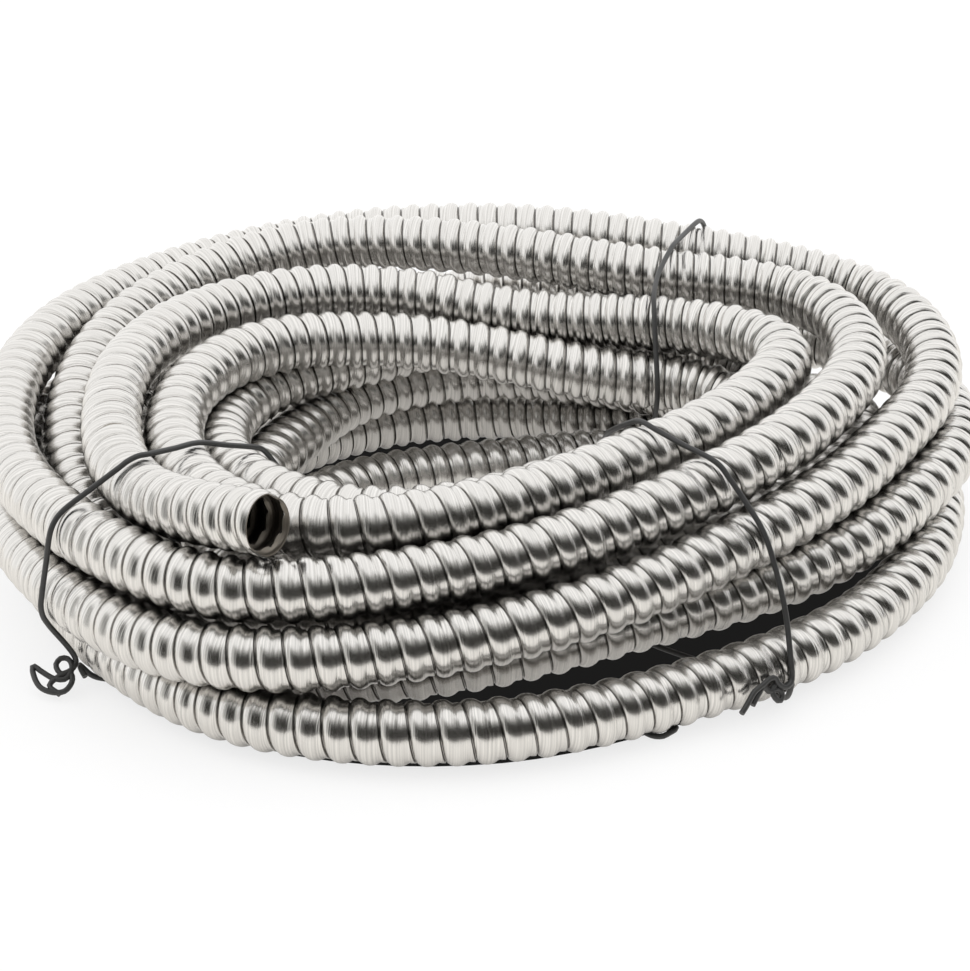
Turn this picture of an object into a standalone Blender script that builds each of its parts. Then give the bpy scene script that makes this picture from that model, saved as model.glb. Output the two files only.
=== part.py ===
"""A coil of corrugated metal flexible conduit, held by three wire ties. Metres, +Z up."""
import bpy
import bmesh
import numpy as np

# Conduit
OUTER_DIAMETER = 0.0210
WALL = 0.0020                # from the outside to the bore: the depth of the ribs
TURN_GAP = 0.0005            # air left between touching turns
OUTER_SIDES = 8
BORE_SIDES = 6
RING_SAG = 0.03              # how far a straight piece may cut inside the bend, in lanes

# Wire ties
TIE_DIAMETER = 0.0019
TIE_GAP = 0.0005             # between a tie and the conduit
TIE_SIDES = 6
TWIST_PITCH = 0.0085         # of the twisted ends of a tie

# One lane is the width that a turn takes up in the coil.
LANE = OUTER_DIAMETER + TURN_GAP
TURN_SPACING = 1.01          # least distance between the middles of two turns, in lanes
FLOOR = (OUTER_DIAMETER / 2 + TIE_GAP + TIE_DIAMETER) / LANE   # middle of a turn on the ground, in lanes
POINT_SPACING = 0.5          # along the route, in lanes

# How the conduit is laid: for each turn, how far its middle is from the axis of the coil and
# how high it lies over a turn on the ground, in lanes, at these angles in degrees.
ANGLES = (180, 210, 240, 270, 300, 330, 360, 378, 396, 420, 450, 480, 510)
FIRST_ANGLES = (410, 430, 450, 480, 510)
LAST_ANGLES = (180, 210, 226, 243)
REACH = (
    (8.75, 7.95, 7.7, 8.15, 8.2),
    (7.3, 6.95, 7.3, 6.95, 6.4, 6.75, 7.5, 8.2, 8.4, 7.1, 6.7, 7.1, 7.2),
    (6.3, 6.0, 6.1, 5.5, 5.1, 5.8, 7.4, 8.6, 8.95, 7.4, 7.1, 7.8, 8.1),
    (7.8, 7.5, 7.55, 6.1, 5.48, 5.75, 6.9, 8.25, 8.9, 6.9, 6.65, 7.85, 8.45),
    (7.8, 7.35, 7.1, 5.35, 4.8, 5.1, 5.92, 6.8, 7.15, 5.35, 5.45, 6.85, 7.4),
    (6.75, 6.2, 6.0, 4.6, 3.7, 4.0, 5.8, 6.9, 6.9, 5.3, 5.5, 5.25, 4.7),
    (4.6, 4.2, 4.6, 4.3, 3.8, 4.2, 5.7, 6.5, 6.2, 3.9, 2.85, 2.9, 3.3),
    (3.3, 3.2, 3.5, 3.3, 2.6, 2.6, 3.9, 4.9, 5.2, 5.0, 4.95, 4.7, 4.1),
    (3.95, 3.7, 3.8, 3.5, 2.9, 3.0, 4.95, 5.8, 6.0, 5.4, 4.55, 4.1, 4.6),
    (4.35, 4.15, 4.1, 3.5, 2.6, 2.6, 4.0, 5.1, 4.4, 3.0, 2.75, 3.2, 4.4),
    (4.9, 5.4, 5.7, 4.5, 3.7, 3.95, 4.7, 5.6, 4.75, 3.6, 3.7, 4.65, 5.6),
    (5.9, 6.3, 6.6, 6.7),
)
LEVEL = (
    (0, 0, 0, 0, 0),
    (0, 0, 0, 0, 0, 0, 0, 0, 0, 0, 0, 0, 0),
    (0, 0, 0.1, 0.5, 0.75, 0.85, 0.95, 1.1, 1.1, 1.5, 1.7, 1.2, 0.95),
    (0.9, 1.0, 1.0, 1.1, 1.3, 1.6, 1.7, 2.0, 2.3, 2.95, 3.1, 2.65, 2.2),
    (1.85, 1.8, 1.85, 1.92, 2.17, 2.5, 2.55, 2.55, 2.7, 2.95, 3.15, 3.0, 2.25),
    (1.3, 1.05, 1.15, 1.1, 0.9, 0.7, 0.9, 1.2, 0.9, 0.1, 0, 0, 0),
    (0, 0, 0, 0.15, 0, 0, 0, 0, 0, 0, 0, 0, 0),
    (0, 0, 0, 0, 0, 0, 0.1, 0.35, 1.0, 1.1, 1.0, 0.9, 0.8),
    (0.7, 0.9, 1.0, 1.05, 1.0, 0.9, 0.75, 1.0, 1.6, 1.95, 1.95, 1.7, 1.55),
    (1.6, 1.7, 1.8, 1.75, 1.6, 1.5, 1.45, 1.55, 1.75, 2.05, 2.25, 2.45, 2.4),
    (2.3, 2.25, 2.3, 2.4, 2.49, 2.63, 2.65, 2.65, 2.65, 2.4, 2.6, 2.9, 2.85),
    (2.8, 2.35, 2.55, 2.9),
)

# Each tie stands on a curve over the ground, given by points from the eye of the coil outwards,
# in lanes. Its twisted ends leave the loop at this height on the outside, in lanes.
TIES = {
    "tie_left": (((-3.05, -0.9), (-4.25, -2.6), (-5.3, -3.92), (-6.15, -4.25), (-6.85, -4.8)), 0.4),
    "tie_back": (((3.04, 1.3), (2.95, 3.0), (3.28, 4.36), (4.2, 6.8)), 0.8),
    "tie_front": (((2.0, -1.0), (2.1, -1.9), (2.45, -2.6), (3.25, -3.35), (4.1, -4.0), (4.55, -4.6), (4.68, -5.3)), 0.6),
}
TIE_STEP = 0.9               # longest straight piece of a tie, in lanes


def chart_points():
    points = []
    for turn, (reaches, levels) in enumerate(zip(REACH, LEVEL)):
        angles = ANGLES
        if turn == 0:
            angles = FIRST_ANGLES
        if turn == len(REACH) - 1:
            angles = LAST_ANGLES
        for angle, reach, level in zip(angles, reaches, levels):
            around = np.radians(angle)
            points.append((reach * np.cos(around), reach * np.sin(around), FLOOR + level))
    return np.array(points)


def evenly(points, spacing):
    """Points this far apart along a polyline."""
    run = np.concatenate([[0], np.cumsum(np.linalg.norm(np.diff(points, axis=0), axis=1))])
    count = int(round(run[-1] / spacing)) + 1
    at = np.linspace(0, run[-1], count)
    return np.stack([np.interp(at, run, points[:, k]) for k in range(3)], axis=1)


def smooth_through(points, spacing):
    """A smooth curve through all the points, as points this far apart."""
    chord = np.linalg.norm(np.diff(points, axis=0), axis=1) ** 0.5
    knots = np.concatenate([[0], np.cumsum(chord)])
    slope = np.gradient(points, knots, axis=0)
    t = np.linspace(0, 1, 24, endpoint=False)[:, None]   # fine steps between two points
    fine = []
    for i in range(len(points) - 1):
        step = knots[i + 1] - knots[i]
        fine.append((2 * t**3 - 3 * t**2 + 1) * points[i] + (t**3 - 2 * t**2 + t) * step * slope[i]
                    + (3 * t**2 - 2 * t**3) * points[i + 1] + (t**3 - t**2) * step * slope[i + 1])
    return evenly(np.vstack(fine + [points[-1:]]), spacing)


def close_pairs(points, within, skip):
    first, second = np.triu_indices(len(points), skip)
    near = np.ones(len(first), bool)
    for axis in range(3):
        near[near] = np.abs(points[first[near], axis] - points[second[near], axis]) < within
    return first[near], second[near]


def settle(points):
    """Pushes apart turns that lie too close, keeps the route smooth and above the ground."""
    rounds = 120
    skip = int(np.ceil(2.2 / POINT_SPACING))
    home = points.copy()
    for step in range(rounds):
        if step % 15 == 0:
            first, second = close_pairs(points, TURN_SPACING + 0.4, skip)
        if step < rounds - 30:
            points[1:-1] += 0.25 * ((points[:-2] + points[2:]) / 2 - points[1:-1])
            points += 0.05 * (home - points)
        offset = points[first] - points[second]
        distance = np.linalg.norm(offset, axis=1)
        short = np.clip(TURN_SPACING - distance, 0, None)
        push = offset * (short / np.maximum(distance, 1e-6))[:, None]
        touching = np.bincount(first, short > 0, len(points)) + np.bincount(second, short > 0, len(points))
        share = 0.5 / np.sqrt(np.maximum(touching, 1))
        for axis in range(3):
            shove = np.bincount(first, push[:, axis], len(points)) - np.bincount(second, push[:, axis], len(points))
            points[:, axis] += share * shove
        points[:, 2] = np.maximum(points[:, 2], FLOOR)
    return points


def ring_points(route):
    """Fewer points along the route, close together only where it bends tightly."""
    step = np.diff(route, axis=0)
    length = np.linalg.norm(step, axis=1)
    along = step / length[:, None]
    turn = np.arccos(np.clip((along[:-1] * along[1:]).sum(axis=1), -1, 1))
    radius = 0.5 * (length[:-1] + length[1:]) / np.maximum(turn, 1e-3)
    radius = np.concatenate([radius[:1], radius, radius[-1:]])
    smooth = np.convolve(1 / radius, np.ones(5) / 5, mode="same")
    reach = np.clip(np.sqrt(8 * RING_SAG / np.maximum(smooth, 1e-3)), 0.5, 1.7)
    share = length / (0.5 * (reach[:-1] + reach[1:]))
    run = np.concatenate([[0], np.cumsum(share)])
    at = np.linspace(0, run[-1], int(np.ceil(run[-1])) + 1)
    return np.stack([np.interp(at, run, route[:, k]) for k in range(3)], axis=1)


def sheet_points(stations):
    """The curve over the ground on which a tie stands, run on past both ends."""
    curve = smooth_through(np.array([(*station, 0) for station in stations]), 0.25)[:, :2]
    before = curve[0] + (curve[0] - curve[1]) / np.linalg.norm(curve[0] - curve[1]) * 0.7
    after = curve[-1] + (curve[-1] - curve[-2]) / np.linalg.norm(curve[-1] - curve[-2]) * 2.5
    return np.vstack([before, curve, after])


def crossings(rings, curve):
    """Where the conduit crosses a tie's sheet: place along it, height, and the section's shape."""
    run = np.concatenate([[0], np.cumsum(np.linalg.norm(np.diff(curve, axis=0), axis=1))])
    found = []
    for a, b in zip(rings[:-1], rings[1:]):
        for i in range(len(curve) - 1):
            p, q = curve[i], curve[i + 1]
            grid = np.array([b[:2] - a[:2], p - q]).T
            if abs(np.linalg.det(grid)) < 1e-9:
                continue
            s, t = np.linalg.solve(grid, p - a[:2])
            if not (0 <= s < 1 and 0 <= t < 1):
                continue
            across = (q - p) / np.linalg.norm(q - p)
            normal = np.array([across[1], -across[0], 0])
            along = (b - a) / np.linalg.norm(b - a)
            middle = a + s * (b - a)
            in_sheet = np.array([along[:2] @ across, along[2]])
            found.append((run[i] + t * (run[i + 1] - run[i]), middle[2], in_sheet, abs(along @ normal)))
    return found


def hull(points):
    """Convex outline, counter-clockwise."""
    points = sorted(map(tuple, points))
    def half(run):
        kept = []
        for point in run:
            while len(kept) > 1:
                (ax, ay), (bx, by) = kept[-2], kept[-1]
                if (bx - ax) * (point[1] - ay) - (by - ay) * (point[0] - ax) > 0:
                    break
                kept.pop()
            kept.append(point)
        return kept[:-1]
    return np.array(half(points) + half(points[::-1]))


def tie_outline(rings, curve):
    """The loop of a tie round all the turns that cross its sheet, as (place, height) in lanes."""
    standoff = (OUTER_DIAMETER / 2 + TIE_GAP + TIE_DIAMETER / 2) / LANE
    sides = 20
    angle = np.linspace(0, 2 * np.pi, sides, endpoint=False)
    circle = np.stack([np.cos(angle), np.sin(angle)], axis=1) * standoff / np.cos(np.pi / sides)
    points = []
    for place, height, in_sheet, cut in crossings(rings, curve):
        size = np.linalg.norm(in_sheet)
        long_way = in_sheet / size if size > 1e-6 else np.array([1.0, 0.0])
        stretched = circle + np.outer(circle @ long_way, long_way) * (1 / cut - 1)
        points.extend(stretched + np.array([place, height]))
    return hull(points)


def onto_sheet(outline, curve):
    """(place, height) on a tie's sheet, in space."""
    run = np.concatenate([[0], np.cumsum(np.linalg.norm(np.diff(curve, axis=0), axis=1))])
    x = np.interp(outline[:, 0], run, curve[:, 0])
    y = np.interp(outline[:, 0], run, curve[:, 1])
    return np.stack([x, y, outline[:, 1]], axis=1)


def keep_clear(points, rings):
    """Moves points of a tie away from the conduit wherever the curve of its sheet brings them too near."""
    least = (OUTER_DIAMETER / 2 + TIE_GAP + TIE_DIAMETER / 2) / LANE
    start, step = rings[:-1], np.diff(rings, axis=0)
    for _ in range(3):
        t = ((points[:, None] - start) * step).sum(axis=2) / (step * step).sum(axis=1)
        nearest = start + np.clip(t, 0, 1)[:, :, None] * step
        distance = np.linalg.norm(points[:, None] - nearest, axis=2)
        for i, j in enumerate(distance.argmin(axis=1)):
            if distance[i, j] < least:
                points[i] = nearest[i, j] + (points[i] - nearest[i, j]) * least / distance[i, j]
    return points


def tie_route(rings, stations, knot_height):
    """The wire of one tie: a twisted end, once round the turns, and the other twisted end."""
    curve = sheet_points(stations)
    outline = tie_outline(rings, curve)
    loop = np.vstack([outline, outline[:1]])
    run = np.concatenate([[0], np.cumsum(np.linalg.norm(np.diff(loop, axis=0), axis=1))])
    length = run[-1]
    fine = np.linspace(0, length, 2000, endpoint=False)
    place = np.interp(fine, run, loop[:, 0])
    height = np.interp(fine, run, loop[:, 1])
    outside = place > place.mean()
    knot = fine[outside][np.argmin(np.abs(height[outside] - knot_height))]
    parting = 0.62 * TIE_DIAMETER / LANE
    corners = np.sort((run[:-1] - knot) % length)
    corners = corners[(corners > 3 * parting) & (corners < length - 3 * parting)]
    at = np.concatenate([[parting], corners, [length - parting]])
    at = at[np.concatenate([[True], np.diff(at) > 0.04])]
    pieces = [np.linspace(a, b, int(np.ceil((b - a) / TIE_STEP)), endpoint=False) for a, b in zip(at[:-1], at[1:])]
    at = np.concatenate([*pieces, at[-1:]])
    flat = np.stack([np.interp((knot + at) % length, run, loop[:, k]) for k in range(2)], axis=1)
    loop_points = keep_clear(onto_sheet(flat, curve), rings)
    outward = curve[-1] - curve[-2]
    outward = np.array([*(outward / np.linalg.norm(outward)), -0.25])
    outward /= np.linalg.norm(outward)
    start, finish = loop_points[0], loop_points[-1]
    root = (start + finish) / 2
    apart = (start - finish) / np.linalg.norm(start - finish)
    side = np.cross(outward, apart)
    ends = []
    for sign, steps in ((1, 9), (-1, 7)):
        tail = []
        for i in range(1, steps + 1):
            ahead = i * TWIST_PITCH / LANE / 6
            twist = 2 * np.pi * ahead / (TWIST_PITCH / LANE)
            tail.append(root + outward * ahead + sign * parting * (apart * np.cos(twist) + side * np.sin(twist)))
        ends.append(tail)
    return np.array(ends[0][::-1] + list(loop_points) + ends[1])


def tube(name, points, diameter, sides, collection):
    """A closed round bar along the points, in lanes: a curve with a round section, made a mesh."""
    section = bpy.data.curves.new(name + "_section", "CURVE")
    ring = section.splines.new("POLY")
    ring.points.add(sides - 1)
    ring.use_cyclic_u = True
    for i, point in enumerate(ring.points):
        angle = 2 * np.pi * i / sides
        point.co = (diameter / 2 * np.cos(angle), diameter / 2 * np.sin(angle), 0, 1)
    section_object = bpy.data.objects.new(name + "_section", section)
    collection.objects.link(section_object)
    line = bpy.data.curves.new(name + "_line", "CURVE")
    line.dimensions = "3D"
    line.bevel_mode = "OBJECT"
    line.bevel_object = section_object
    line.use_fill_caps = True
    spline = line.splines.new("POLY")
    spline.points.add(len(points) - 1)
    for point, place in zip(spline.points, points * LANE):
        point.co = (*place, 1)
    line_object = bpy.data.objects.new(name + "_line", line)
    collection.objects.link(line_object)
    bpy.context.view_layer.update()
    graph = bpy.context.evaluated_depsgraph_get()
    mesh = bpy.data.meshes.new_from_object(line_object.evaluated_get(graph))
    bpy.data.objects.remove(line_object)
    bpy.data.objects.remove(section_object)
    shape = bmesh.new()
    shape.from_mesh(mesh)
    bmesh.ops.remove_doubles(shape, verts=shape.verts, dist=1e-6)
    bmesh.ops.recalc_face_normals(shape, faces=shape.faces)
    shape.to_mesh(mesh)
    shape.free()
    mesh.name = name
    made = bpy.data.objects.new(name, mesh)
    collection.objects.link(made)
    return made


def material(name, colour, metallic, roughness):
    made = bpy.data.materials.new(name)
    made.use_nodes = True
    shader = made.node_tree.nodes["Principled BSDF"]
    shader.inputs["Base Color"].default_value = (*colour, 1)
    shader.inputs["Metallic"].default_value = metallic
    shader.inputs["Roughness"].default_value = roughness
    return made


def collection(name):
    made = bpy.data.collections.new(name)
    bpy.context.scene.collection.children.link(made)
    return made


for old in list(bpy.data.objects):
    bpy.data.objects.remove(old)

coil = collection("flexible_conduit_coil")
cutters = collection("cutters")

route = settle(smooth_through(chart_points(), POINT_SPACING))
rings = ring_points(route)

conduit = tube("conduit", rings, OUTER_DIAMETER, OUTER_SIDES, coil)
conduit.data.materials.append(material("stainless_steel", (0.72, 0.71, 0.69), 1.0, 0.25))

first_step = rings[0] - rings[1]
last_step = rings[-1] - rings[-2]
past_start = rings[0] + first_step / np.linalg.norm(first_step) * 0.05
past_end = rings[-1] + last_step / np.linalg.norm(last_step) * 0.05
bore_points = np.vstack([past_start, rings[1:-1], past_end])
bore = tube("bore", bore_points, OUTER_DIAMETER - 2 * WALL, BORE_SIDES, cutters)
bore.hide_render = True
bore.display_type = "WIRE"
cut = conduit.modifiers.new("bore", "BOOLEAN")
cut.operation = "DIFFERENCE"
cut.solver = "EXACT"
cut.object = bore

tie_material = material("black_coated_wire", (0.05, 0.05, 0.05), 0.0, 0.45)
ties = []
for name, (stations, knot_height) in TIES.items():
    tie = tube(name, tie_route(rings, stations, knot_height), TIE_DIAMETER, TIE_SIDES, coil)
    tie.data.materials.append(tie_material)
    ties.append(tie)

# The middle of the coil's box goes over the origin, and its lowest point on the ground.
corners = np.array([vertex.co for made in [conduit, *ties] for vertex in made.data.vertices])
low, high = corners.min(axis=0), corners.max(axis=0)
shift = np.array([-(low[0] + high[0]) / 2, -(low[1] + high[1]) / 2, -low[2]])
for made in [conduit, bore, *ties]:
    for vertex in made.data.vertices:
        vertex.co = np.array(vertex.co) + shift
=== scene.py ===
"""The coil of flexible conduit with its ribs, seam and finish, as photographed."""
import bpy
import numpy as np
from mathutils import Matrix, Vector


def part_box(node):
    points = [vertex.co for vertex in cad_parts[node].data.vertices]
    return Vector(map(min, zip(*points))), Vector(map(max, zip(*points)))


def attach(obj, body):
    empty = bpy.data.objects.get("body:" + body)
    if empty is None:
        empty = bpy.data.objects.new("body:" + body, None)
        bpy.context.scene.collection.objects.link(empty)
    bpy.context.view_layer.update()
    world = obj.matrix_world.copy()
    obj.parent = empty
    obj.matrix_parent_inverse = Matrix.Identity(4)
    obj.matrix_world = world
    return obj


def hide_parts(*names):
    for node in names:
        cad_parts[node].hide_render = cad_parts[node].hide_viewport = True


# Conduit, in metres
OUTER_DIAMETER = 0.0210
TURN_GAP = 0.0005            # air left between touching turns
CHANNEL_DEPTH = 0.0015       # from the crest of a rib to the bottom of the channel
STRIP = 0.0004               # thickness of the strip
TIP_LENGTH = 0.0056          # of the strip's pointed tip past the free end

# Wire ties, in metres
TIE_DIAMETER = 0.0019
TIE_GAP = 0.0005             # between a tie and the conduit
TWIST_PITCH = 0.0085         # of the twisted ends of a tie

# One lane is the width that a turn takes up in the coil. The coil is laid out in lanes.
LANE = OUTER_DIAMETER + TURN_GAP
TURN_SPACING = 1.01          # least distance between the middles of two turns
FLOOR = (OUTER_DIAMETER / 2 + TIE_GAP + TIE_DIAMETER) / LANE   # middle of a turn on the ground
POINT_SPACING = 0.5          # along the route as it is laid
LINE_SPACING = 0.0375        # along the middle line that the skin follows
WIRE_SPACING = 0.06          # along a wire
TIE_STEP = 0.9               # longest straight piece of a tie

# How the conduit is laid: for each turn, how far its middle is from the axis of the coil and
# how high it lies over a turn on the ground, in lanes, at these angles in degrees
ANGLES = (180, 210, 240, 270, 300, 330, 360, 378, 396, 420, 450, 480, 510)
FIRST_ANGLES = (410, 430, 450, 480, 510)
LAST_ANGLES = (180, 210, 226, 243)
REACH = (
    (8.75, 7.95, 7.7, 8.15, 8.2),
    (7.3, 6.95, 7.3, 6.95, 6.4, 6.75, 7.5, 8.2, 8.4, 7.1, 6.7, 7.1, 7.2),
    (6.3, 6.0, 6.1, 5.5, 5.1, 5.8, 7.4, 8.6, 8.95, 7.4, 7.1, 7.8, 8.1),
    (7.8, 7.5, 7.55, 6.1, 5.48, 5.75, 6.9, 8.25, 8.9, 6.9, 6.65, 7.85, 8.45),
    (7.8, 7.35, 7.1, 5.35, 4.8, 5.1, 5.92, 6.8, 7.15, 5.35, 5.45, 6.85, 7.4),
    (6.75, 6.2, 6.0, 4.6, 3.7, 4.0, 5.8, 6.9, 6.9, 5.3, 5.5, 5.25, 4.7),
    (4.6, 4.2, 4.6, 4.3, 3.8, 4.2, 5.7, 6.5, 6.2, 3.9, 2.85, 2.9, 3.3),
    (3.3, 3.2, 3.5, 3.3, 2.6, 2.6, 3.9, 4.9, 5.2, 5.0, 4.95, 4.7, 4.1),
    (3.95, 3.7, 3.8, 3.5, 2.9, 3.0, 4.95, 5.8, 6.0, 5.4, 4.55, 4.1, 4.6),
    (4.35, 4.15, 4.1, 3.5, 2.6, 2.6, 4.0, 5.1, 4.4, 3.0, 2.75, 3.2, 4.4),
    (4.9, 5.4, 5.7, 4.5, 3.7, 3.95, 4.7, 5.6, 4.75, 3.6, 3.7, 4.65, 5.6),
    (5.9, 6.3, 6.6, 6.7),
)
LEVEL = (
    (0, 0, 0, 0, 0),
    (0, 0, 0, 0, 0, 0, 0, 0, 0, 0, 0, 0, 0),
    (0, 0, 0.1, 0.5, 0.75, 0.85, 0.95, 1.1, 1.1, 1.5, 1.7, 1.2, 0.95),
    (0.9, 1.0, 1.0, 1.1, 1.3, 1.6, 1.7, 2.0, 2.3, 2.95, 3.1, 2.65, 2.2),
    (1.85, 1.8, 1.85, 1.92, 2.17, 2.5, 2.55, 2.55, 2.7, 2.95, 3.15, 3.0, 2.25),
    (1.3, 1.05, 1.15, 1.1, 0.9, 0.7, 0.9, 1.2, 0.9, 0.1, 0, 0, 0),
    (0, 0, 0, 0.15, 0, 0, 0, 0, 0, 0, 0, 0, 0),
    (0, 0, 0, 0, 0, 0, 0.1, 0.35, 1.0, 1.1, 1.0, 0.9, 0.8),
    (0.7, 0.9, 1.0, 1.05, 1.0, 0.9, 0.75, 1.0, 1.6, 1.95, 1.95, 1.7, 1.55),
    (1.6, 1.7, 1.8, 1.75, 1.6, 1.5, 1.45, 1.55, 1.75, 2.05, 2.25, 2.45, 2.4),
    (2.3, 2.25, 2.3, 2.4, 2.49, 2.63, 2.65, 2.65, 2.65, 2.4, 2.6, 2.9, 2.85),
    (2.8, 2.35, 2.55, 2.9),
)

# From one rib to the next in millimetres, at these angles in plan in degrees: pulled long at the
# front and the right, pushed short behind
PITCH_ANGLES = (0, 20, 46, 60, 80, 97, 112, 130, 150, 180, 205, 235, 255, 270, 285, 300, 330, 360)
PITCHES = (10.0, 8.0, 5.9, 6.6, 7.3, 7.5, 7.0, 6.5, 7.2, 8.6, 8.4, 8.0, 8.5, 9.2, 9.7, 10.0, 10.6, 10.0)
END_PITCH = 7.0              # close by the free end

# Outline of one rib along the conduit: share of the pitch, and height over the bottom of the
# channel as a share of its depth. The floor of the seam lies between the last and the first point.
RIB = (
    (0.00, -0.22),
    (0.035, 0.30),
    (0.11, 0.62),
    (0.20, 0.90),
    (0.32, 1.00),
    (0.45, 0.93),
    (0.56, 0.68),
    (0.65, 0.34),
    (0.73, 0.13),
    (0.84, 0.24),
    (0.93, 0.26),
    (0.965, -0.22),
)
SIDES = 38                   # of the skin and the bore, round the conduit
SEGMENTS = 5                 # pieces of the skin, one after another
SHARP_EDGE = 35              # in degrees: edges bent more than this stay crisp

# Each tie stands on a curve over the ground, given by points from the eye of the coil outwards,
# in lanes. Its twisted ends leave the loop at this height on the outside, in lanes.
TIES = {
    "tie_left": (((-3.05, -0.9), (-4.25, -2.6), (-5.3, -3.92), (-6.15, -4.25), (-6.85, -4.8)), 0.4),
    "tie_back": (((3.04, 1.3), (2.95, 3.0), (3.28, 4.36), (4.2, 6.8)), 0.8),
    "tie_front": (
        ((2.0, -1.0), (2.1, -1.9), (2.45, -2.6), (3.25, -3.35), (4.1, -4.0), (4.55, -4.6), (4.68, -5.3)),
        0.6,
    ),
}
TWIST_STEPS = (9, 7)         # points in the two twisted ends of a tie

# The bent ends of two ties as the camera sees them, right and down from the wire's loop, in lanes
SEEN_ENDS = {
    "tie_left": (
        ((-0.05, 0.13), (-0.20, 0.20), (-0.30, 0.07), (-0.23, -0.03), (-0.12, -0.02),
         (-0.05, 0.10), (-0.13, 0.27), (-0.30, 0.27), (-0.50, 0.17), (-0.65, 0.08),
         (-0.62, 0.23), (-0.50, 0.40), (-0.30, 0.47), (-0.13, 0.45), (-0.03, 0.30),
         (-0.08, 0.17), (-0.23, 0.23), (-0.37, 0.37), (-0.20, 0.50)),
        ((0.05, 0.10), (0.10, 0.17)),
    ),
    "tie_front": (
        ((-0.02, 0.12), (-0.12, 0.18), (-0.22, 0.12), (-0.28, 0.03), (-0.37, 0.05),
         (-0.47, 0.13), (-0.60, 0.22), (-0.68, 0.34), (-0.75, 0.45), (-0.81, 0.53)),
        ((-0.13, 0.07), (-0.23, 0.02), (-0.32, 0.10), (-0.27, 0.23), (-0.20, 0.28),
         (-0.15, 0.20), (-0.23, 0.10), (-0.37, 0.13), (-0.45, 0.05), (-0.53, 0.15), (-0.63, 0.32)),
    ),
}
# How far the bent ends come nearer for each lane to the side and for each lane down
LEANS = {"tie_left": (0.0, 1.0), "tie_front": (0.66, 0.5)}
SEEN_DEPTH = 0.40            # how tall a lane of depth looks, in lanes
SEEN_HEIGHT = 0.917          # how tall a lane of height looks, in lanes

# A short end of wire that peeps out under the front, in lanes
SHORT_END = (
    (2.33, -5.54, 0.06),
    (2.39, -5.73, 0.06),
    (2.47, -5.88, 0.06),
    (2.59, -5.98, 0.06),
    (2.71, -5.98, 0.06),
    (2.81, -5.90, 0.07),
    (2.92, -5.76, 0.08),
    (2.88, -5.71, 0.1),
    (2.77, -5.84, 0.12),
)

# Camera and studio
ELEVATION = 23.5             # of the camera over level, in degrees
CAMERA_DISTANCE = 50         # in lanes
TARGET = (0.082, 0, 1.5)     # the point that the camera looks at, in lanes
SENSOR = 36                  # width of the camera's sensor, in millimetres
FOCAL_PIXELS = 3050          # focal length in pixels of the photo
PHOTO_PIXELS = 971           # longer side of the photo
FLOOR_SIZE = 12              # in metres
CARD_FROM, CARD_TO = -60, 90   # arc of the dark card, in degrees from straight before the coil to the right
CARD_RADIUS = 0.5
CARD_HEIGHT = 0.66


def unit(vector):
    """The vector at length 1."""
    return vector / np.linalg.norm(vector)


def run_along(points):
    """How far along a polyline each of its points lies."""
    return np.concatenate([[0], np.cumsum(np.linalg.norm(np.diff(points, axis=0), axis=1))])


def chart_points():
    """The charted points of all the turns, one after another, in lanes."""
    points = []
    for turn, (reaches, levels) in enumerate(zip(REACH, LEVEL)):
        angles = ANGLES
        if turn == 0:
            angles = FIRST_ANGLES
        if turn == len(REACH) - 1:
            angles = LAST_ANGLES
        for angle, reach, level in zip(angles, reaches, levels):
            around = np.radians(angle)
            points.append((reach * np.cos(around), reach * np.sin(around), FLOOR + level))
    return np.array(points)


def evenly(points, spacing):
    """Points this far apart along a polyline."""
    run = run_along(points)
    count = int(round(run[-1] / spacing)) + 1
    at = np.linspace(0, run[-1], count)
    return np.stack([np.interp(at, run, points[:, k]) for k in range(3)], axis=1)


def smooth_through(points, spacing):
    """A smooth curve through all the points, as points this far apart."""
    fine_steps = 24              # from one point to the next
    chord = np.linalg.norm(np.diff(points, axis=0), axis=1) ** 0.5
    knots = np.concatenate([[0], np.cumsum(chord)])
    slope = np.gradient(points, knots, axis=0)
    t = np.linspace(0, 1, fine_steps, endpoint=False)[:, None]
    fine = []
    for i in range(len(points) - 1):
        step = knots[i + 1] - knots[i]
        fine.append((2 * t**3 - 3 * t**2 + 1) * points[i] + (t**3 - 2 * t**2 + t) * step * slope[i]
                    + (3 * t**2 - 2 * t**3) * points[i + 1] + (t**3 - t**2) * step * slope[i + 1])
    return evenly(np.vstack(fine + [points[-1:]]), spacing)


def close_pairs(points, within, skip):
    """Pairs of points that lie near each other and at least skip points apart along the route."""
    first, second = np.triu_indices(len(points), skip)
    near = np.ones(len(first), bool)
    for axis in range(3):
        near[near] = np.abs(points[first[near], axis] - points[second[near], axis]) < within
    return first[near], second[near]


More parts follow.
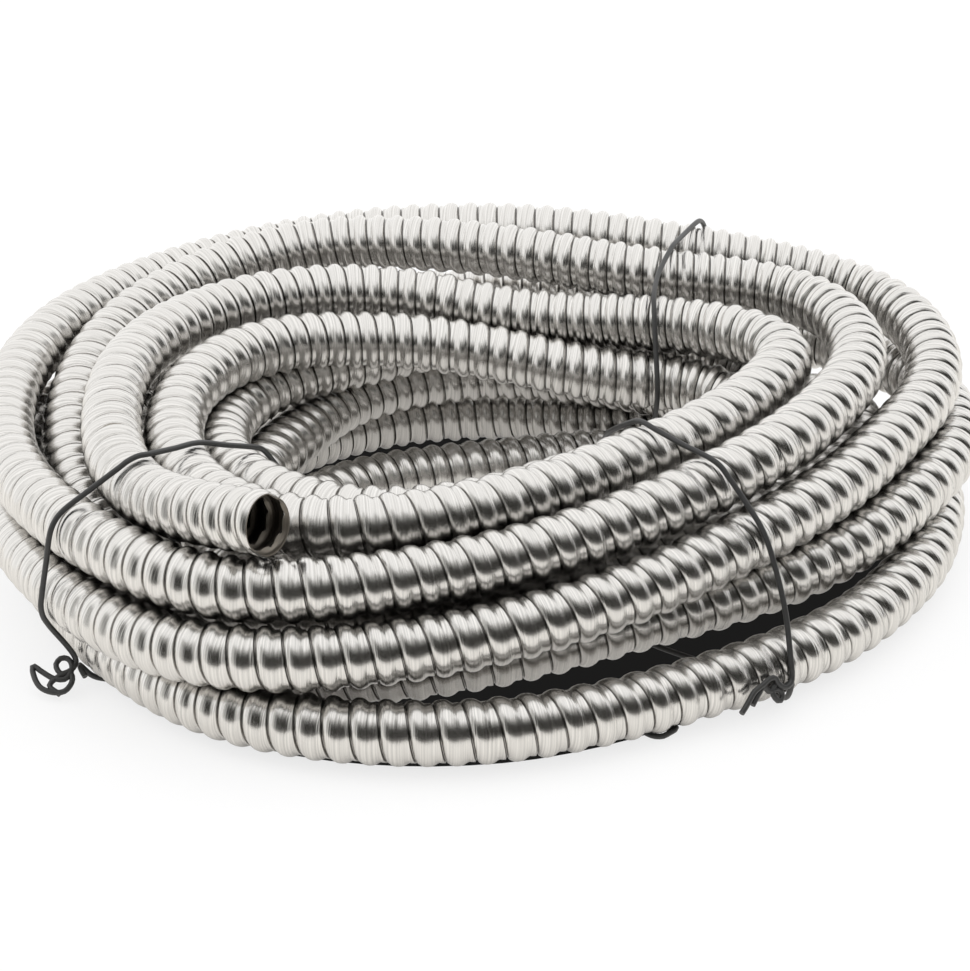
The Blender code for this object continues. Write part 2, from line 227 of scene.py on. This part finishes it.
def settle(points):
    """Pushes apart turns that lie too close, keeps the route smooth and above the ground."""
    rounds = 120
    smoothed_rounds = 90         # the rounds after these only push
    search_every = 15            # rounds from one search for close pairs to the next
    search_margin = 0.4          # lanes beyond the spacing of turns
    same_turn = 2.2              # points less than this many lanes apart along the route aren't pushed
    smoothing = 0.25
    pull_home = 0.05
    skip = int(np.ceil(same_turn / POINT_SPACING))
    home = points.copy()
    for step in range(rounds):
        if step % search_every == 0:
            first, second = close_pairs(points, TURN_SPACING + search_margin, skip)
        if step < smoothed_rounds:
            points[1:-1] += smoothing * ((points[:-2] + points[2:]) / 2 - points[1:-1])
            points += pull_home * (home - points)
        offset = points[first] - points[second]
        distance = np.linalg.norm(offset, axis=1)
        short = np.clip(TURN_SPACING - distance, 0, None)
        push = offset * (short / np.maximum(distance, 1e-6))[:, None]
        touching = np.bincount(first, short > 0, len(points)) + np.bincount(second, short > 0, len(points))
        share = 0.5 / np.sqrt(np.maximum(touching, 1))
        for axis in range(3):
            away = np.bincount(first, push[:, axis], len(points))
            back = np.bincount(second, push[:, axis], len(points))
            points[:, axis] += share * (away - back)
        points[:, 2] = np.maximum(points[:, 2], FLOOR)
    return points


def shift_onto_frame(route):
    """The step, in metres, that brings the laid route onto the frame's conduit."""
    low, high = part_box("conduit")
    laid = route * LANE
    level = [(low[k] + high[k]) / 2 - (laid[:, k].min() + laid[:, k].max()) / 2 for k in range(2)]
    return np.array([*level, low[2] + OUTER_DIAMETER / 2 - laid[:, 2].min()])


def sheet_points(stations):
    """The curve over the ground on which a tie stands, run on past both ends."""
    spacing = 0.25
    run_on_inside = 0.7
    run_on_outside = 2.5
    curve = smooth_through(np.array([(*station, 0) for station in stations]), spacing)[:, :2]
    before = curve[0] + unit(curve[0] - curve[1]) * run_on_inside
    after = curve[-1] + unit(curve[-1] - curve[-2]) * run_on_outside
    return np.vstack([before, curve, after])


def crossings(rings, curve):
    """Where the conduit crosses a tie's sheet: place along it, height, and the section's shape."""
    run = run_along(curve)
    found = []
    for a, b in zip(rings[:-1], rings[1:]):
        for i in range(len(curve) - 1):
            p, q = curve[i], curve[i + 1]
            grid = np.array([b[:2] - a[:2], p - q]).T
            if abs(np.linalg.det(grid)) < 1e-9:
                continue
            s, t = np.linalg.solve(grid, p - a[:2])
            if not (0 <= s < 1 and 0 <= t < 1):
                continue
            across = unit(q - p)
            normal = np.array([across[1], -across[0], 0])
            along = unit(b - a)
            middle = a + s * (b - a)
            in_sheet = np.array([along[:2] @ across, along[2]])
            found.append((run[i] + t * (run[i + 1] - run[i]), middle[2], in_sheet, abs(along @ normal)))
    return found


def hull(points):
    """Convex outline, counter-clockwise."""
    points = sorted(map(tuple, points))

    def half(run):
        kept = []
        for point in run:
            while len(kept) > 1:
                (ax, ay), (bx, by) = kept[-2], kept[-1]
                if (bx - ax) * (point[1] - ay) - (by - ay) * (point[0] - ax) > 0:
                    break
                kept.pop()
            kept.append(point)
        return kept[:-1]

    return np.array(half(points) + half(points[::-1]))


def tie_outline(rings, curve):
    """The loop of a tie round all the turns that cross its sheet, as (place, height) in lanes."""
    standoff = (OUTER_DIAMETER / 2 + TIE_GAP + TIE_DIAMETER / 2) / LANE
    sides = 20
    angle = np.linspace(0, 2 * np.pi, sides, endpoint=False)
    circle = np.stack([np.cos(angle), np.sin(angle)], axis=1) * standoff / np.cos(np.pi / sides)
    points = []
    for place, height, in_sheet, cut in crossings(rings, curve):
        size = np.linalg.norm(in_sheet)
        long_way = in_sheet / size if size > 1e-6 else np.array([1.0, 0.0])
        stretched = circle + np.outer(circle @ long_way, long_way) * (1 / cut - 1)
        points.extend(stretched + np.array([place, height]))
    return hull(points)


def onto_sheet(outline, curve):
    """(place, height) on a tie's sheet, in space."""
    run = run_along(curve)
    x = np.interp(outline[:, 0], run, curve[:, 0])
    y = np.interp(outline[:, 0], run, curve[:, 1])
    return np.stack([x, y, outline[:, 1]], axis=1)


def keep_clear(points, rings):
    """Moves points of a tie away from the conduit wherever the curve of its sheet brings them too near."""
    least = (OUTER_DIAMETER / 2 + TIE_GAP + TIE_DIAMETER / 2) / LANE
    passes = 3
    start = rings[:-1]
    step = np.diff(rings, axis=0)
    for _ in range(passes):
        t = ((points[:, None] - start) * step).sum(axis=2) / (step * step).sum(axis=1)
        nearest = start + np.clip(t, 0, 1)[:, :, None] * step
        distance = np.linalg.norm(points[:, None] - nearest, axis=2)
        for i, j in enumerate(distance.argmin(axis=1)):
            if distance[i, j] < least:
                points[i] = nearest[i, j] + (points[i] - nearest[i, j]) * least / distance[i, j]
    return points


def loop_from_knot(outline, knot_height, parting):
    """The outline once round, from one side of the knot to the other, as (place, height)."""
    fine_steps = 2000            # round the outline, to find the knot
    knot_room = 3 * parting      # corners nearer the knot are left out
    shortest = 0.04              # so are corners nearer the one before, in lanes
    loop = np.vstack([outline, outline[:1]])
    run = run_along(loop)
    length = run[-1]
    fine = np.linspace(0, length, fine_steps, endpoint=False)
    place = np.interp(fine, run, loop[:, 0])
    height = np.interp(fine, run, loop[:, 1])
    outside = place > place.mean()
    knot = fine[outside][np.argmin(np.abs(height[outside] - knot_height))]
    corners = np.sort((run[:-1] - knot) % length)
    corners = corners[(corners > knot_room) & (corners < length - knot_room)]
    at = np.concatenate([[parting], corners, [length - parting]])
    at = at[np.concatenate([[True], np.diff(at) > shortest])]
    pieces = []
    for a, b in zip(at[:-1], at[1:]):
        pieces.append(np.linspace(a, b, int(np.ceil((b - a) / TIE_STEP)), endpoint=False))
    at = np.concatenate([*pieces, at[-1:]])
    return np.stack([np.interp((knot + at) % length, run, loop[:, k]) for k in range(2)], axis=1)


def tie_route(rings, stations, knot_height):
    """The wire of one tie: a twisted end, once round the turns, and the other twisted end."""
    points_a_twist = 6
    droop = 0.25                 # how far the ends go down for each lane outwards, in lanes
    parting = 0.62 * TIE_DIAMETER / LANE   # from the middle of the twist to the middle of its wires
    curve = sheet_points(stations)
    outline = tie_outline(rings, curve)
    loop = keep_clear(onto_sheet(loop_from_knot(outline, knot_height, parting), curve), rings)
    outward = unit(np.array([*unit(curve[-1] - curve[-2]), -droop]))
    root = (loop[0] + loop[-1]) / 2
    apart = unit(loop[0] - loop[-1])
    side = np.cross(outward, apart)
    ends = []
    for sign, steps in zip((1, -1), TWIST_STEPS):
        tail = []
        for i in range(1, steps + 1):
            ahead = i * TWIST_PITCH / LANE / points_a_twist
            twist = 2 * np.pi * i / points_a_twist
            turned = apart * np.cos(twist) + side * np.sin(twist)
            tail.append(root + outward * ahead + sign * parting * turned)
        ends.append(tail)
    return np.array(ends[0][::-1] + list(loop) + ends[1])


def with_seen_ends(points, name):
    """A tie's points, in lanes, with its two ends bent as the camera sees them."""
    lean_aside, lean_down = LEANS[name]
    lowest = 0.6 * TIE_DIAMETER / LANE
    loop = points[TWIST_STEPS[0]:-TWIST_STEPS[1]]
    ends = []
    for root, path in zip((loop[0], loop[-1]), SEEN_ENDS[name]):
        right, down = np.array(path).T
        nearer = lean_aside * np.abs(right) + lean_down * down
        drop = (down - SEEN_DEPTH * nearer) / SEEN_HEIGHT
        end = root + np.stack([right, -nearer, -drop], axis=1)
        end[:, 2] = np.maximum(end[:, 2], lowest)
        ends.append(end)
    return np.vstack([ends[0][::-1], loop, ends[1]])


def frames_along(points):
    """Unit vectors across and along a route, carried on without twist."""
    along = np.gradient(points, axis=0)
    along /= np.linalg.norm(along, axis=1)[:, None]
    side = np.zeros_like(points)
    side[0] = unit(np.cross(along[0], (0.0, 0.0, 1.0)))
    for i in range(1, len(points)):
        side[i] = unit(side[i - 1] - along[i] * (side[i - 1] @ along[i]))
    return side, np.cross(along, side), along


def rib_radius(phase):
    """Outside radius at this share of a pitch."""
    at = np.array([share for share, _ in RIB] + [1.0])
    height = np.array([height for _, height in RIB] + [RIB[0][1]])
    return OUTER_DIAMETER / 2 - CHANNEL_DEPTH * (1 - np.interp(phase % 1.0, at, height))


class Line:
    """The middle line of the conduit, in metres, with a place and a frame at any distance along it."""

    def __init__(self, points):
        self.points = points
        self.run = run_along(points)
        self.length = self.run[-1]
        self.side, self.up, self.along = frames_along(points)
        change = 0.08                # metres over which the pitch turns into that of the free end
        azimuth = np.degrees(np.arctan2(points[:, 1], points[:, 0])) % 360
        pitch = np.interp(azimuth, PITCH_ANGLES, PITCHES)
        pitch += (END_PITCH - pitch) * np.clip(1.5 - (self.length - self.run) / change, 0, 1)
        pitch /= 1000
        self.turns = np.concatenate([[0], np.cumsum(np.diff(self.run) / pitch[1:])])

    def phase(self, distance):
        """How many ribs lie before this distance."""
        return np.interp(distance, self.run, self.turns)

    def place(self, phase):
        """The distance that this many ribs lie before."""
        return np.interp(phase, self.turns, self.run)

    def at(self, table, distance):
        """What a table with a row for each point of the line holds at this distance."""
        return np.stack([np.interp(distance, self.run, table[:, k]) for k in range(3)], axis=-1)

    def surface(self, distance, angle, radius):
        """Points round the line."""
        middle = self.at(self.points, distance)
        side = self.at(self.side, distance)
        up = self.at(self.up, distance)
        return middle + radius[..., None] * (np.cos(angle)[..., None] * side + np.sin(angle)[..., None] * up)


def add_object(name, data):
    """A new object in the scene."""
    made = bpy.data.objects.new(name, data)
    bpy.context.scene.collection.objects.link(made)
    return made


def mesh_object(name, points, quads, finish, uv):
    """A smooth mesh of the quads and only the points that they use."""
    used, quads = np.unique(quads, return_inverse=True)
    quads = quads.reshape(-1, 4)
    points = points[used]
    mesh = bpy.data.meshes.new(name)
    mesh.vertices.add(len(points))
    mesh.vertices.foreach_set("co", points.astype(np.float32).ravel())
    mesh.loops.add(quads.size)
    mesh.loops.foreach_set("vertex_index", quads.astype(np.int32).ravel())
    mesh.polygons.add(len(quads))
    mesh.polygons.foreach_set("loop_start", np.arange(0, quads.size, 4, dtype=np.int32))
    mesh.polygons.foreach_set("use_smooth", np.ones(len(quads), bool))
    layer = mesh.uv_layers.new(name="UVMap")
    layer.data.foreach_set("uv", uv[used][quads.ravel()].astype(np.float32).ravel())
    mesh.update(calc_edges=True)
    mesh.validate()
    mesh.set_sharp_from_angle(angle=np.radians(SHARP_EDGE))
    mesh.materials.append(finish)
    return add_object(name, mesh)


def tube_quads(index):
    """The quads between the rows of a grid of point numbers, closed round each row."""
    here, after = index[:-1], index[1:]
    quads = np.stack([here, after, np.roll(after, -1, axis=1), np.roll(here, -1, axis=1)], axis=-1)
    return quads.reshape(-1, 4)


def outer_skin(line, finish):
    """The ribbed outside in pieces, each with the distances at which it starts and stops.

    It is one grid. Each of its rows runs once round the conduit, along the strip, and so ends one
    pitch further on.
    """
    per_turn = len(RIB)
    share = np.array([place for place, _ in RIB])
    turns = int(np.ceil(line.turns[-1])) + 2
    rows = np.arange(-per_turn, turns * per_turn)
    row_phase = rows // per_turn + share[rows % per_turn]
    lead = np.arange(SIDES)[None] / SIDES
    phase = row_phase[:, None] + lead
    inside = (phase > 0) & (phase < line.turns[-1])
    phase = np.clip(phase, 0, line.turns[-1])
    distance = line.place(phase)
    angle = np.broadcast_to(2 * np.pi * lead, distance.shape)
    points = line.surface(distance, angle, rib_radius(phase - lead)).reshape(-1, 3)
    # The first UV coordinate marks the rows of the seam, which the steel colours with painted shade in the
    # groove
    in_seam = np.isin(rows % per_turn, (0, per_turn - 1)).astype(float)[:, None]
    uv = np.stack([np.broadcast_to(in_seam, distance.shape), distance], axis=-1).reshape(-1, 2)

    index = np.arange(distance.size).reshape(distance.shape)
    last = len(rows) - per_turn - 1
    here = index[:last]
    after = index[1:last + 1]
    here_next = np.hstack([here[:, 1:], index[per_turn:last + per_turn, :1]])
    after_next = np.hstack([after[:, 1:], index[per_turn + 1:last + per_turn + 1, :1]])
    quads = np.stack([here, here_next, after_next, after], axis=-1)
    some_inside = inside.ravel()[quads].any(axis=-1)

    row_place = line.place(row_phase)
    cuts = np.linspace(0, last, SEGMENTS + 1).astype(int) // per_turn * per_turn
    cuts[-1] = last
    made = []
    for number, (start, stop) in enumerate(zip(cuts[:-1], cuts[1:]), 1):
        kept = quads[start:stop][some_inside[start:stop]]
        piece = mesh_object(f"conduit_{number}", points, kept, finish, uv)
        made.append((piece, row_place[start], row_place[stop - 1]))
    return made


def inner_skin(line, finish):
    """The bore with its rims: ribbed near both ends, plain further in."""
    ribbed_depth = 0.1
    ribbed_spacing = 0.0007
    plain_spacing = 0.018
    plain_radius = 0.8 * OUTER_DIAMETER / 2 - STRIP
    widest = OUTER_DIAMETER / 2 - 1.6 * STRIP
    ribbed = np.arange(0, ribbed_depth, ribbed_spacing)
    plain = np.arange(ribbed_depth + 0.01, line.length - ribbed_depth - 0.005, plain_spacing)
    distance = np.concatenate([ribbed, plain, line.length - ribbed[::-1]])
    distance = np.repeat(distance[:, None], SIDES, axis=1)
    lead = np.arange(SIDES)[None] / SIDES
    rib = rib_radius(line.phase(distance) - lead)
    near_end = np.minimum(distance, line.length - distance) < ribbed_depth
    radius = np.minimum(np.where(near_end, rib - STRIP, plain_radius), widest)
    radius = np.vstack([rib[:1], radius, rib[-1:]])
    distance = np.vstack([distance[:1], distance, distance[-1:]])
    angle = np.broadcast_to(2 * np.pi * lead, distance.shape)
    points = line.surface(distance, angle, radius).reshape(-1, 3)
    uv = np.stack([np.zeros_like(distance), distance], axis=-1).reshape(-1, 2)
    quads = tube_quads(np.arange(distance.size).reshape(distance.shape))
    return mesh_object("conduit_bore", points, quads, finish, uv)


def strip_tip(line, finish):
    """The pointed tip of the strip, left standing past the free end."""
    steps = 17                   # along the tip
    first_angle = 152            # round the rim, in degrees
    width = 54                   # in degrees
    near_start = 0.45            # share of the width from which the near edge rises too
    stand_out = 0.0001           # over the crest of a rib
    axis = line.along[-1]
    across = unit(np.cross((0.0, 0.0, 1.0), axis))
    down = np.cross(across, axis)
    share = np.linspace(0, 1, steps)[:, None]
    angle = np.radians(first_angle - width * share)
    far = TIP_LENGTH * share ** 1.3
    near = TIP_LENGTH * np.clip((share - near_start) / (1 - near_start), 0, 1) ** 1.1
    outwards = np.cos(angle) * across + np.sin(angle) * down
    edges = []
    for ahead, inside in ((near, 0.0), (far, 0.0), (far, STRIP), (near, STRIP)):
        radius = OUTER_DIAMETER / 2 + stand_out - inside
        edges.append(line.points[-1] + radius * outwards + ahead * axis)
    points = np.stack(edges, axis=1).reshape(-1, 3)
    index = np.arange(len(points)).reshape(steps, len(edges))
    quads = np.vstack([tube_quads(index), index[:1, ::-1], index[-1:]])
    return mesh_object("strip_tip", points, quads, finish, np.zeros((len(points), 2)))


def wire(name, points, finish):
    """A round wire through the points, in metres."""
    line = bpy.data.curves.new(name, "CURVE")
    line.dimensions = "3D"
    line.bevel_depth = TIE_DIAMETER / 2
    line.bevel_resolution = 4
    line.use_fill_caps = True
    spline = line.splines.new("POLY")
    spline.points.add(len(points) - 1)
    for point, place in zip(spline.points, points):
        point.co = (*place, 1)
    spline.use_smooth = True
    line.materials.append(finish)
    return add_object(name, line)


def new_material(name):
    """A material with its nodes and links."""
    made = bpy.data.materials.new(name)
    made.use_nodes = True
    return made, made.node_tree.nodes, made.node_tree.links


def colour_ramp(nodes, links, value, low, high):
    """The colour for a value, from low to high, each a value and its colour."""
    ramp = nodes.new("ShaderNodeValToRGB")
    for stop, (position, colour) in zip(ramp.color_ramp.elements, (low, high)):
        stop.position = position
        stop.color = (*colour, 1)
    links.new(value, ramp.inputs["Fac"])
    return ramp.outputs["Color"]


def steel(name, clear, roughness):
    """Rolled strip with fine lines along it, and painted shade between the turns and in the seam; clear is
    its colour where nothing lies close by.
    """
    made, nodes, links = new_material(name)
    shader = nodes["Principled BSDF"]
    shader.inputs["Metallic"].default_value = 1.0
    shader.inputs["Roughness"].default_value = roughness

    # Painted shade: darker between the turns, where other turns lie close by
    openness = nodes.new("ShaderNodeAmbientOcclusion")
    openness.inputs["Distance"].default_value = 0.025
    openness.samples = 6
    shade = colour_ramp(nodes, links, openness.outputs["AO"], (0.06, (0.06, 0.052, 0.045)), (0.32, clear))

    # Fine lines
    place = nodes.new("ShaderNodeTexCoord")
    stretch = nodes.new("ShaderNodeMapping")
    stretch.inputs["Scale"].default_value = (0.0, 1500.0, 1.0)
    lines = nodes.new("ShaderNodeTexNoise")
    lines.inputs["Scale"].default_value = 1.0
    lines.inputs["Detail"].default_value = 2.0
    bump = nodes.new("ShaderNodeBump")
    bump.inputs["Strength"].default_value = 0.4
    bump.inputs["Distance"].default_value = 0.0004
    links.new(place.outputs["UV"], stretch.inputs["Vector"])
    links.new(stretch.outputs["Vector"], lines.inputs["Vector"])
    links.new(lines.outputs["Fac"], bump.inputs["Height"])
    links.new(bump.outputs["Normal"], shader.inputs["Normal"])
    streak = colour_ramp(nodes, links, lines.outputs["Fac"], (0.3, (0.74, 0.735, 0.73)), (0.62, (1, 1, 1)))
    streaked = nodes.new("ShaderNodeMix")
    streaked.data_type = "RGBA"
    streaked.blend_type = "MULTIPLY"
    streaked.inputs["Factor"].default_value = 1.0
    links.new(shade, streaked.inputs["A"])
    links.new(streak, streaked.inputs["B"])

    # Painted shade in the narrow groove of the seam, where the skin's first coordinate is 1
    coordinates = nodes.new("ShaderNodeSeparateXYZ")
    seam_shaded = nodes.new("ShaderNodeMix")
    seam_shaded.data_type = "RGBA"
    seam_shaded.inputs["B"].default_value = (0.24, 0.23, 0.22, 1)
    links.new(place.outputs["UV"], coordinates.inputs[0])
    links.new(coordinates.outputs["X"], seam_shaded.inputs["Factor"])
    links.new(streaked.outputs["Result"], seam_shaded.inputs["A"])
    links.new(seam_shaded.outputs["Result"], shader.inputs["Base Color"])
    return made


def coated_wire():
    """Black plastic coat with a fine grain."""
    made, nodes, links = new_material("coated_wire")
    shader = nodes["Principled BSDF"]
    shader.inputs["Roughness"].default_value = 0.42
    place = nodes.new("ShaderNodeTexCoord")
    grain = nodes.new("ShaderNodeTexNoise")
    grain.inputs["Scale"].default_value = 900.0
    links.new(place.outputs["Object"], grain.inputs["Vector"])
    darkest = (0.018, 0.018, 0.018)
    palest = (0.035, 0.035, 0.034)
    black = colour_ramp(nodes, links, grain.outputs["Fac"], (0, darkest), (1, palest))
    links.new(black, shader.inputs["Base Color"])
    return made


def emission(nodes, colour, strength):
    """A node that shines."""
    light = nodes.new("ShaderNodeEmission")
    light.inputs["Color"].default_value = (*colour, 1)
    light.inputs["Strength"].default_value = strength
    return light


def shining(name, colour):
    """A material that only shines, with its nodes and links and the node that shines."""
    made, nodes, links = new_material(name)
    nodes.clear()
    light = emission(nodes, colour, 1.0)
    output = nodes.new("ShaderNodeOutputMaterial")
    links.new(light.outputs[0], output.inputs["Surface"])
    return made, nodes, links, light


def glowing_paper(nodes, links, colour, glow_colour, glow):
    """A matt surface that also shines."""
    matt = nodes.new("ShaderNodeBsdfDiffuse")
    matt.inputs["Color"].default_value = (*colour, 1)
    light = emission(nodes, glow_colour, glow)
    both = nodes.new("ShaderNodeAddShader")
    links.new(matt.outputs[0], both.inputs[0])
    links.new(light.outputs[0], both.inputs[1])
    return both.outputs[0]


def white_floor():
    """A floor that looks white with a faint shadow, and that the conduit mirrors with a deeper one."""
    finish, nodes, links = new_material("floor")
    nodes.clear()
    seen = glowing_paper(nodes, links, (0.22, 0.22, 0.22), (1, 1, 1), 0.76)
    mirrored = glowing_paper(nodes, links, (0.6, 0.59, 0.57), (1, 0.98, 0.95), 0.45)
    ray = nodes.new("ShaderNodeLightPath")
    mix = nodes.new("ShaderNodeMixShader")
    links.new(ray.outputs["Is Camera Ray"], mix.inputs["Fac"])
    links.new(mirrored, mix.inputs[1])
    links.new(seen, mix.inputs[2])
    output = nodes.new("ShaderNodeOutputMaterial")
    links.new(mix.outputs[0], output.inputs["Surface"])
    bpy.ops.mesh.primitive_plane_add(size=FLOOR_SIZE)
    floor = bpy.context.object
    floor.name = "floor"
    floor.data.materials.append(finish)
    return floor


def shaded_floor(line):
    """The floor within the lowest turn as a glowing sheet with painted shade: dark where the turns stand
    close over it, pale in the open.
    """
    over_floor = 0.0002
    lowest_turn = 0.022          # the middle of the lowest turn stays under this height
    inset = 0.003                # from the middle of the lowest turn
    step = 4                     # from one corner to the next, in degrees
    window = 3                   # to both sides of a corner, in degrees
    azimuth = np.degrees(np.arctan2(line.points[:, 1], line.points[:, 0])) % 360
    reach = np.hypot(line.points[:, 0], line.points[:, 1])
    low = line.points[:, 2] < lowest_turn
    rim = []
    for at in range(0, 360, step):
        close = np.abs((azimuth - at + 180) % 360 - 180) < window
        far = reach[close & low].max() - inset
        rim.append((far * np.cos(np.radians(at)), far * np.sin(np.radians(at)), over_floor))
    faces = [(0, i + 1, (i + 1) % len(rim) + 1) for i in range(len(rim))]
    mesh = bpy.data.meshes.new("shaded_floor")
    mesh.from_pydata([(0.0, 0.0, over_floor), *rim], [], faces)
    finish, nodes, links, light = shining("shaded_floor", (0.96, 0.95, 0.93))
    openness = nodes.new("ShaderNodeAmbientOcclusion")
    openness.inputs["Distance"].default_value = 0.13
    openness.samples = 16
    brightness = nodes.new("ShaderNodeMapRange")
    brightness.inputs["From Min"].default_value = 0.36
    brightness.inputs["From Max"].default_value = 0.75
    brightness.inputs["To Min"].default_value = 0.012
    links.new(openness.outputs["AO"], brightness.inputs["Value"])
    links.new(brightness.outputs["Result"], light.inputs["Strength"])
    mesh.materials.append(finish)
    shaded = add_object("shaded_floor", mesh)
    shaded.visible_glossy = False
    shaded.visible_diffuse = False
    return shaded


def dark_card():
    """An upright arc that only reflections show, dark below and paler towards its top and its left."""
    columns = 41
    angles = np.radians(np.linspace(CARD_FROM, CARD_TO, columns) - 90)
    points = []
    for height in (0.0, CARD_HEIGHT):
        points += [(CARD_RADIUS * np.cos(a), CARD_RADIUS * np.sin(a), height) for a in angles]
    faces = [(i, i + 1, columns + i + 1, columns + i) for i in range(columns - 1)]
    mesh = bpy.data.meshes.new("card")
    mesh.from_pydata(points, [], faces)
    finish, nodes, links, light = shining("card", (1, 1, 1))
    place = nodes.new("ShaderNodeTexCoord")
    coordinates = nodes.new("ShaderNodeSeparateXYZ")
    upwards = nodes.new("ShaderNodeMath")
    upwards.operation = "DIVIDE"
    upwards.inputs[1].default_value = CARD_HEIGHT
    leftwards = nodes.new("ShaderNodeMapRange")
    leftwards.inputs["From Min"].default_value = -0.06
    leftwards.inputs["From Max"].default_value = -0.36
    leftwards.inputs["To Max"].default_value = 0.9
    further = nodes.new("ShaderNodeMath")
    further.operation = "MAXIMUM"
    links.new(place.outputs["Object"], coordinates.inputs[0])
    links.new(coordinates.outputs["Z"], upwards.inputs[0])
    links.new(coordinates.outputs["X"], leftwards.inputs["Value"])
    links.new(upwards.outputs[0], further.inputs[0])
    links.new(leftwards.outputs["Result"], further.inputs[1])
    darkest = (0.028, 0.027, 0.024)
    palest = (0.9, 0.9, 0.88)
    fade = colour_ramp(nodes, links, further.outputs[0], (0.45, darkest), (1.0, palest))
    links.new(fade, light.inputs["Color"])
    mesh.materials.append(finish)
    card = add_object("card", mesh)
    card.visible_camera = False
    card.visible_diffuse = False
    card.visible_shadow = False
    return card


def studio(line):
    """A white studio with a white floor; reflections find a dark card before the coil and on its right."""
    world = bpy.data.worlds.new("studio")
    bpy.context.scene.world = world
    world.use_nodes = True
    world.node_tree.nodes["Background"].inputs["Color"].default_value = (1, 1, 1, 1)
    world.node_tree.nodes["Background"].inputs["Strength"].default_value = 1.28
    floor = white_floor()
    shaded = shaded_floor(line)
    card = dark_card()


def camera(shift):
    """The photo's view, from the front."""
    elevation = np.radians(ELEVATION)
    target = np.array(TARGET) * LANE + shift
    lens = bpy.data.cameras.new("camera")
    lens.sensor_width = SENSOR
    lens.lens = SENSOR * FOCAL_PIXELS / PHOTO_PIXELS
    seen = add_object("camera", lens)
    back = Vector((0, -np.cos(elevation), np.sin(elevation)))
    seen.location = Vector(target) + back * (CAMERA_DISTANCE * LANE)
    seen.rotation_mode = "QUATERNION"
    seen.rotation_quaternion = (-back).to_track_quat("-Z", "Y")
    bpy.context.scene.camera = seen


def conduit(line):
    """The skin in its pieces, with the bore and the strip's tip."""
    path_spacing = 0.008
    metal = steel("stainless_steel", (0.72, 0.705, 0.68), 0.27)
    pieces = outer_skin(line, metal)
    # The bore is the same steel, rougher and with a darker colour: painted shade inside the tube
    bore = inner_skin(line, steel("stainless_inside_shaded", (0.3, 0.27, 0.23), 0.5))
    for number, (piece, start, stop) in enumerate(pieces, 1):
        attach(piece, "root")
        path = line.at(line.points, np.linspace(start, stop, int((stop - start) / path_spacing)))
    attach(bore, "root")
    tip = strip_tip(line, metal)
    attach(tip, "root")
    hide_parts("conduit")


def wires(route, shift):
    """The three ties and the short end of wire."""
    coated = coated_wire()
    for name, (stations, knot_height) in TIES.items():
        points = tie_route(route, stations, knot_height)
        if name in SEEN_ENDS:
            points = with_seen_ends(points, name)
        points = smooth_through(points, WIRE_SPACING) * LANE + shift
        points[:, 2] = np.maximum(points[:, 2], TIE_DIAMETER / 2)
        tie = wire(name + "_wire", points, coated)
        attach(tie, "root")
        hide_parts(name)
    points = smooth_through(np.array(SHORT_END), WIRE_SPACING) * LANE + shift
    short_end = wire("short_wire_end", points, coated)
    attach(short_end, "root")


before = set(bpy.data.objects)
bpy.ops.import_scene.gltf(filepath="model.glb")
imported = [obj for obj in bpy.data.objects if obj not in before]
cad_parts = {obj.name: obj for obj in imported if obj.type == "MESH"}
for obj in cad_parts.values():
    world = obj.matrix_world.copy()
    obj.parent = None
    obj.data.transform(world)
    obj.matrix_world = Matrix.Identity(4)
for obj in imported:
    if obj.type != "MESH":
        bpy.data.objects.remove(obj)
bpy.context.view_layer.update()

route = settle(smooth_through(chart_points(), POINT_SPACING))
shift = shift_onto_frame(route)
line = Line(smooth_through(route, LINE_SPACING) * LANE + shift)
conduit(line)
wires(route, shift)
studio(line)
camera(shift)
bpy.context.scene.view_settings.view_transform = "Standard"
